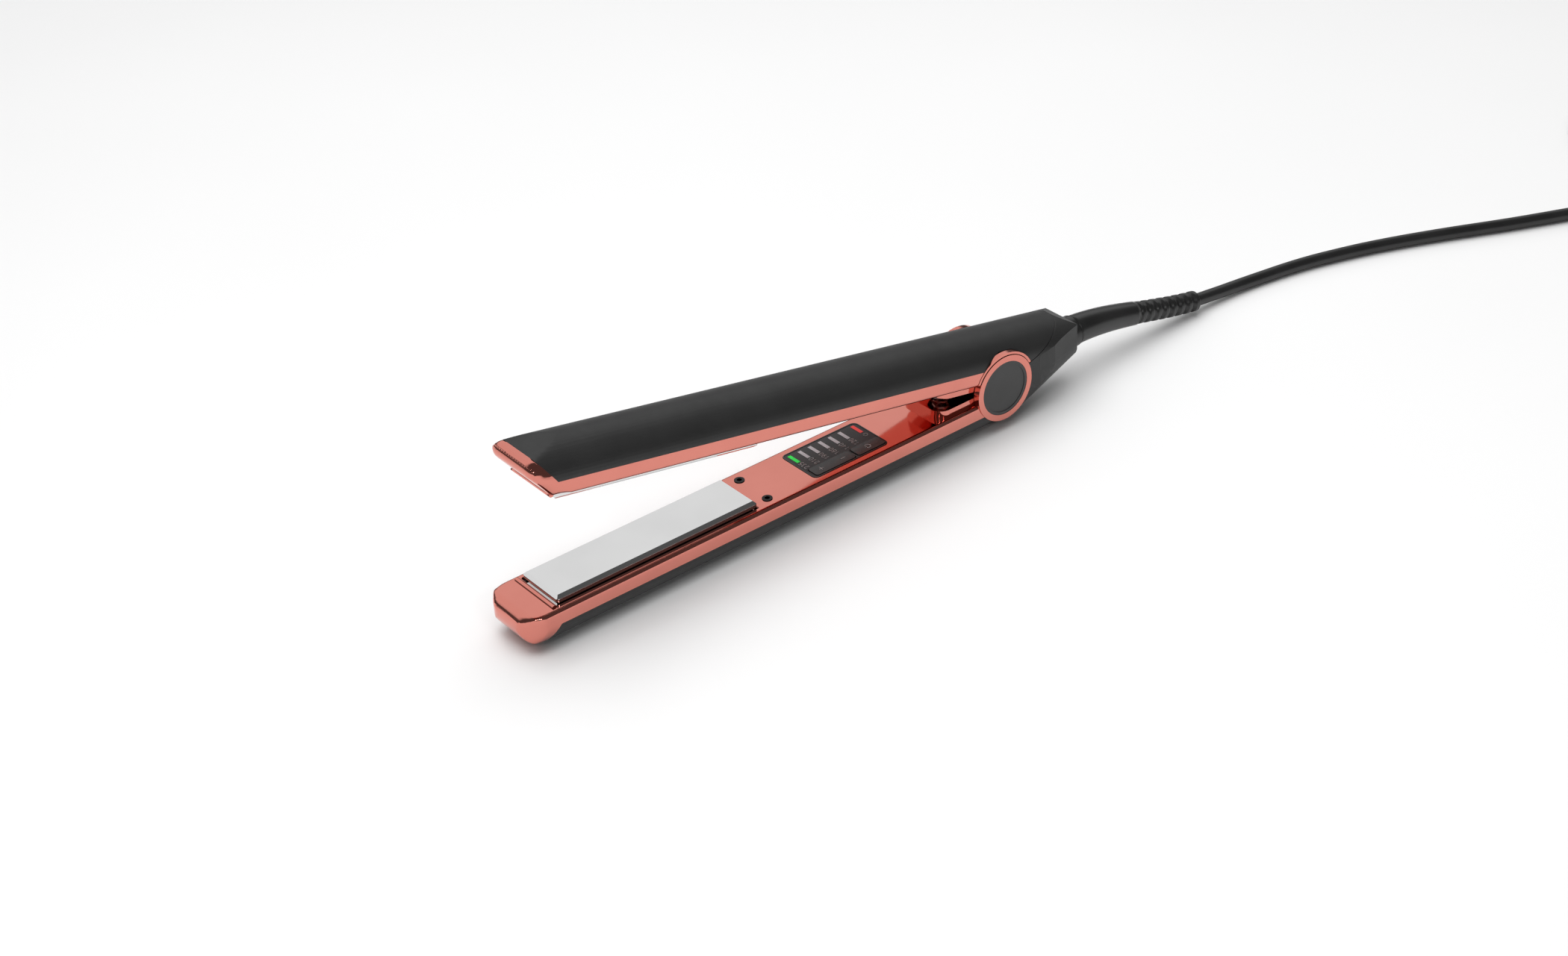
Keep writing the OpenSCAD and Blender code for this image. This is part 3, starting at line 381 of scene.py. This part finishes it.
def roll_edges(bm, beaked):
    """Rolls the nose's edges over, and eases the moved vertices that aren't on a sharp seam."""
    moved = set()
    for v in bm.verts:
        new = Vector(rolled(*v.co, beaked))
        if (new - v.co).length > MOVED:
            moved.add(v)
        v.co = new
    for _ in range(2):
        moved |= {e.other_vert(v) for v in moved for e in v.link_edges if -MOVED < e.other_vert(v).co.z}
    seam = {v for e in bm.edges if e.calc_face_angle(0) > SEAM_ANGLE for v in e.verts}
    reach = BEAK_U + 14 if beaked else 12
    loose = [v for v in moved if v not in seam and v.co.x < reach]
    for _ in range(10):
        bmesh.ops.smooth_vert(bm, verts=loose, factor=0.5, use_axis_x=True, use_axis_y=True, use_axis_z=True)


def add_nose(node, body, slot, beaked):
    """A shell of the frame with the edges of its nose rolled over."""
    c, s = (cos(OPEN), sin(OPEN)) if beaked else (1.0, 0.0)
    face, way = (FACE_Z + SHUT_GAP, 1) if beaked else (FACE_Z, -1)

    def to_arm(p):
        x, z = p.x / MM - HINGE_X, p.z / MM - HINGE_Z
        return Vector((HINGE_X + x * c - z * s - NOSE_X, p.y / MM, (HINGE_Z + x * s + z * c - face) * way))

    def from_arm(u, y, d):
        x, z = u + NOSE_X - HINGE_X, face + way * d - HINGE_Z
        return Vector((HINGE_X + x * c + z * s, y, HINGE_Z - x * s + z * c)) * MM

    source = NODES[node]
    bm = bmesh.new()
    bm.from_mesh(source.data)
    bm.transform(source.matrix_world)
    for v in bm.verts:
        v.co = to_arm(v.co)
    bmesh.ops.remove_doubles(bm, verts=bm.verts, dist=0.0005)
    cut_finely(bm)
    roll_edges(bm, beaked)
    for v in bm.verts:
        v.co = from_arm(*v.co)
    bmesh.ops.triangulate(bm, faces=[f for f in bm.faces if len(f.verts) > 4])
    bmesh.ops.recalc_face_normals(bm, faces=bm.faces)
    for f in bm.faces:
        f.smooth = True
    for e in bm.edges:
        e.smooth = len(e.link_faces) == 2 and e.calc_face_angle(0) < SHARP_ANGLE
    mesh = bpy.data.meshes.new(node + "_rolled")
    bm.to_mesh(mesh)
    bm.free()
    piece = link(node + "_rolled", mesh, slot, body)
    weigh = piece.modifiers.new("weigh", "WEIGHTED_NORMAL")
    weigh.keep_sharp = True
    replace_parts(piece, node)


# ---- Marks on the panel ------------------------------------------------------------

DIGITS = {
    "0": [arc(0.3, 0.5, 0.28, 0.5, 0, 360, 16)],
    "1": [[(0.12, 0.78), (0.36, 1), (0.36, 0)]],
    "2": [arc(0.3, 0.72, 0.27, 0.28, 170, -40) + [(0.03, 0), (0.58, 0)]],
    "3": [arc(0.28, 0.76, 0.25, 0.24, 150, -80) + arc(0.28, 0.27, 0.3, 0.27, 80, -150)],
    "4": [[(0.44, 0), (0.44, 1), (0.02, 0.28), (0.6, 0.28)]],
    "5": [[(0.54, 1), (0.1, 1), (0.06, 0.56)] + arc(0.28, 0.32, 0.3, 0.32, 130, -140)],
    "6": [arc(0.3, 0.3, 0.28, 0.3, 0, 360, 14), arc(0.6, 0.34, 0.58, 0.66, 180, 105, 6)],
    "9": [arc(0.3, 0.7, 0.28, 0.3, 0, 360, 14), arc(0.0, 0.66, 0.58, 0.66, 0, -75, 6)],
}
PANEL_Z, KEY_Z = 18.42, 18.72    # just above the panel's face and the keys' faces
KEY_Y = -7.6
LIGHT_X, LIGHT_PITCH = -43.2, 5.6
SCALE = ("235", "210", "190", "160", "140", "120")
MARK_WIDTH = 0.3


def number(text, height, pitch):
    """Strokes of a number, centred."""
    start = -pitch * (len(text) - 1) / 2 - 0.3 * height
    return [[(start + pitch * i + a * height, (b - 0.5) * height) for a, b in line]
            for i, c in enumerate(text) for line in DIGITS[c]]


def power_sign(r):
    """A broken ring with a bar through the gap."""
    return [arc(0, 0, r, r, 125, 415, 18), [(0, r * 0.35), (0, r * 1.25)]]


def mark(name, lines, place, body, width=MARK_WIDTH):
    """A white mark on the panel that reads from the near side, with its top towards the nose."""
    strokes(name, lines, place, (0, 1, 0), (-1, 0, 0), width, "print_white", body)


def add_marks():
    """The scale beside the lights, and the signs on the panel and its keys."""
    for i, text in enumerate(SCALE):
        place = (LIGHT_X + LIGHT_PITCH * i, -0.4, PANEL_Z)
        mark("number_%d" % i, number(text, 2.3, 1.95), place, "lower_arm")
    mark("power_mark", power_sign(1.0), (-7.8, 0.6, PANEL_Z), "lower_arm")
    mark("key_power", power_sign(1.3), (-13.4, KEY_Y, KEY_Z), "power_key_body")
    across, along = [(-1.2, 0), (1.2, 0)], [(0, -1.2), (0, 1.2)]
    mark("key_plus", [across, along], (-39.5, KEY_Y, KEY_Z), "rocker_key_body", 0.32)
    mark("key_minus", [along], (-27.5, KEY_Y, KEY_Z), "rocker_key_body", 0.32)


# ---- Sleeve and strain relief --------------------------------------------------------

RELIEF = [Vector(p) for p in ((115.75, 0, 21.7), (142, 0, 21), (168, 0, 10.5), (197.25, 0, 5.9))]
SLEEVE_END = 0.5                 # share of the curve that the smooth sleeve takes
SLEEVE_STEPS, RIBS, RIB_STEPS, SIDES = 24, 8, 14, 40


def relief_at(t):
    """A point of the curve that the sleeve and strain relief follow, from 0 to 1."""
    a, b, c, d = RELIEF
    s = 1 - t
    return a * s ** 3 + b * 3 * s * s * t + c * 3 * s * t * t + d * t ** 3


def add_relief():
    """A tapered smooth sleeve, then a core that tapers to the cord with ribs round it."""
    n = SLEEVE_STEPS
    sleeve = sweep([relief_at(SLEEVE_END * i / n) for i in range(n + 1)],
                   [7 - 1.35 * i / n for i in range(n + 1)], SIDES)
    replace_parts(link("relief_sleeve", sleeve, "relief_rubber", "cord_swivel"), "cord_sleeve")
    points, radii = [], []
    for i in range(RIBS * RIB_STEPS + 1):
        u = i / (RIBS * RIB_STEPS)
        phase = (u * RIBS) % 1
        rise = smooth((phase - 0.26) / 0.12) * (1 - smooth((phase - 0.78) / 0.12))
        core = 4.6 - 0.9 * u
        points.append(relief_at(SLEEVE_END + (1 - SLEEVE_END) * u))
        radii.append(core + (5.35 - 0.4 * u - core) * rise)
    ribs = link("relief_ribs", sweep(points, radii, SIDES), "relief_rubber", "cord_swivel")
    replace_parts(ribs, "strain_relief")


# ---- Cord ------------------------------------------------------------------------

CORD_D = 6.2
CORD_R = CORD_D / 2
CORD_TO_HANK = [
    (197.25, 0, 5.9), (206, 0, 4.9), (215, -0.3, 4.1), (228, -1.2, 3.4), (242, -3, 3.1),
    (256, -5.4, 3.1), (270, -8.6, 3.1), (284, -12.8, 3.1), (298, -17.6, 3.1), (312, -23.2, 3.1),
    (326, -29.4, 3.1), (340, -36, 3.1), (354, -43, 3.1), (368, -50, 3.1), (380, -55.6, 3.1),
    (391, -60.6, 3.1), (402, -65.6, 3.1), (414, -71.4, 3.1), (426, -77.2, 3.1), (438, -82.8, 3.1),
    (450, -87.6, 3.1),
]
HANK_X0, HANK_X1, HANK_Y = 470, 587, -75
INNER_R, OUTER_R = 18.6, 24.8       # end bends of the two columns of turns
PINCH = 15.5                        # how far the tie draws each side in
TURNS = 3                           # turns in each column
PLUG_BACK_X, PLUG_Y, PLUG_H = 507, -0.6, 13.6
LOOP_X, LOOP_R = 497, 26.8          # half turn from the side of the hank to the plug


def run(side, radius, z0, z1, radius_end=None, steps=7):
    """One straight run of the hank, drawn in at the tie; side -1 heads along +X, side 1 back along -X."""
    radius_end = radius if radius_end is None else radius_end
    points = []
    for i in range(1, steps + 1):
        t = i / 8
        x = HANK_X0 + (HANK_X1 - HANK_X0) * (t if side < 0 else 1 - t)
        r = radius + (radius_end - radius) * smooth(t)
        draw = PINCH * (1 - cos(2 * pi * t)) / 2
        points.append((x, HANK_Y + side * (r - draw), z0 + (z1 - z0) * smooth(t)))
    return points


def end_bend(x, radius, z):
    """Half a turn round one end of the hank, anticlockwise from above."""
    start = -90 if x == HANK_X1 else 90
    angles = [radians(start + 22.5 * i) for i in range(9)]
    return [(x + radius * cos(a), HANK_Y + radius * sin(a), z) for a in angles]


def hank_route():
    """Up the inner column, across to the outer one, and down again."""
    points, z = [(460, -91, CORD_R)], CORD_R
    for turn in range(TURNS):
        points += [(HANK_X0, HANK_Y - INNER_R, z)] if turn == 0 else []
        points += run(-1, INNER_R, z, z) + end_bend(HANK_X1, INNER_R, z)
        points += run(1, INNER_R, z, z + CORD_D) + end_bend(HANK_X0, INNER_R, z + CORD_D)
        z += CORD_D
    points += run(-1, INNER_R, z, z, OUTER_R)
    for turn in range(TURNS):
        points += end_bend(HANK_X1, OUTER_R, z) + run(1, OUTER_R, z, z) + end_bend(HANK_X0, OUTER_R, z)
        points += run(-1, OUTER_R, z, z - CORD_D)
        z -= CORD_D
    return points


def plug_route():
    """Out of the side of the hank, round, and into the back of the plug."""
    angles = [radians(-90 - 30 * i) for i in range(7)]
    half_turn = [(LOOP_X + LOOP_R * cos(a), PLUG_Y - LOOP_R + LOOP_R * sin(a), CORD_R + 0.5 * i)
                 for i, a in enumerate(angles)]
    out = end_bend(HANK_X1, OUTER_R, CORD_R) + run(1, OUTER_R, CORD_R, CORD_R, steps=6)
    return out + half_turn + [(PLUG_BACK_X, PLUG_Y, PLUG_H / 2)]


def add_cord():
    """One continuous cord from the strain relief through the hank to the plug."""
    route = CORD_TO_HANK + hank_route() + plug_route()
    curve = bpy.data.curves.new("cord", "CURVE")
    curve.dimensions = "3D"
    curve.bevel_depth = CORD_R * MM
    curve.bevel_resolution = 5
    curve.resolution_u = 5
    curve.use_fill_caps = True
    spline = curve.splines.new("BEZIER")
    spline.bezier_points.add(len(route) - 1)
    for b, p in zip(spline.bezier_points, route):
        b.co = mm(*p)
        b.handle_left_type = b.handle_right_type = "AUTO"
    cord = link("free_cord", curve, "cord_rubber", "cord_swivel")
    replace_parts(cord, "cord", "cord_hank")


# ---- Stage -----------------------------------------------------------------------

FLOOR_HALF, FLOOR_Z = 6, -0.0004


def add_floor():
    """A plain white floor just under the iron."""
    mesh = bpy.data.meshes.new("floor")
    corners = [(x * FLOOR_HALF, y * FLOOR_HALF, FLOOR_Z) for x, y in ((-1, -1), (1, -1), (1, 1), (-1, 1))]
    mesh.from_pydata(corners, [], [(0, 1, 2, 3)])
    floor = bpy.data.objects.new("floor", mesh)
    bpy.context.scene.collection.objects.link(floor)
    s = Shader("floor_white").set(Roughness=0.7, Specular_IOR_Level=0.2)
    s.colour(s.ramp(s.noise(3, 2), 0.3, 0.7, grey(0.86), grey(0.88)))
    mesh.materials.append(s.m)


def add_light(name, place, size, power, hidden=False):
    """A rectangular light aimed at the middle of the iron; a hidden one isn't mirrored."""
    data = bpy.data.lights.new(name, "AREA")
    data.shape, data.size, data.size_y, data.energy = "RECTANGLE", *size, power
    light = bpy.data.objects.new(name, data)
    light.location = place
    light.rotation_euler = (-Vector(place)).to_track_quat("-Z", "Y").to_euler()
    light.visible_glossy = not hidden
    bpy.context.scene.collection.objects.link(light)


def add_world():
    """A dim studio with one broad bright panel high on the far side, mirrored by the faces of the iron."""
    world = bpy.data.worlds.new("studio")
    world.use_nodes = True
    bpy.context.scene.world = world
    t = world.node_tree

    def node(kind, **inputs):
        n = t.nodes.new(kind)
        for key, value in inputs.items():
            if isinstance(value, bpy.types.NodeSocket):
                t.links.new(value, n.inputs[key])
            else:
                n.inputs[key].default_value = value
        return n

    def step(value, low, high, start=0.0, end=1.0):
        r = node("ShaderNodeMapRange", Value=value)
        r.interpolation_type = "SMOOTHSTEP"
        for key, v in zip(("From Min", "From Max", "To Min", "To Max"), (low, high, start, end)):
            r.inputs[key].default_value = v
        return r.outputs["Result"]

    def times(a, b):
        m = t.nodes.new("ShaderNodeMath")
        m.operation = "MULTIPLY"
        t.links.new(a, m.inputs[0])
        t.links.new(b, m.inputs[1])
        return m.outputs[0]

    at = t.nodes.new("ShaderNodeTexCoord").outputs["Generated"]
    far = t.nodes.new("ShaderNodeVectorMath")
    far.operation = "DOT_PRODUCT"
    far.inputs[1].default_value = (0.3, 0.954, 0)
    t.links.new(at, far.inputs[0])
    height = node("ShaderNodeSeparateXYZ", Vector=at).outputs["Z"]
    side = step(far.outputs["Value"], 0.22, 0.5)
    panel = times(times(side, step(height, 0.22, 0.42)), step(height, 0.8, 0.95, 1, 0))
    ramp = node("ShaderNodeValToRGB", Fac=panel)
    ramp.color_ramp.elements[0].color = (0.1, 0.1, 0.1, 1)
    ramp.color_ramp.elements[1].color = (0.93, 0.93, 0.93, 1)
    t.links.new(ramp.outputs["Color"], t.nodes["Background"].inputs["Color"])
    t.nodes["Background"].inputs["Strength"].default_value = 1.0


add_camera()
paint_cad()
add_cord()
add_relief()
for arm, beaked in (("lower", False), ("upper", True)):
    for shell, slot in (("liner", "rose_gold"), ("cover", "shell_black")):
        add_nose(f"{arm}_{shell}", f"{arm}_arm", slot, beaked)
add_marks()
add_floor()
add_world()
add_light("overhead", (-0.1, 0.1, 1.6), (2.2, 1.8), 33, hidden=True)
add_light("spot_left", (-1.0, -0.75, 0.95), (0.1, 0.1), 1.2)
add_light("spot_right", (-0.35, -1.15, 0.9), (0.1, 0.1), 1.2)
bpy.context.scene.view_settings.view_transform = "Standard"
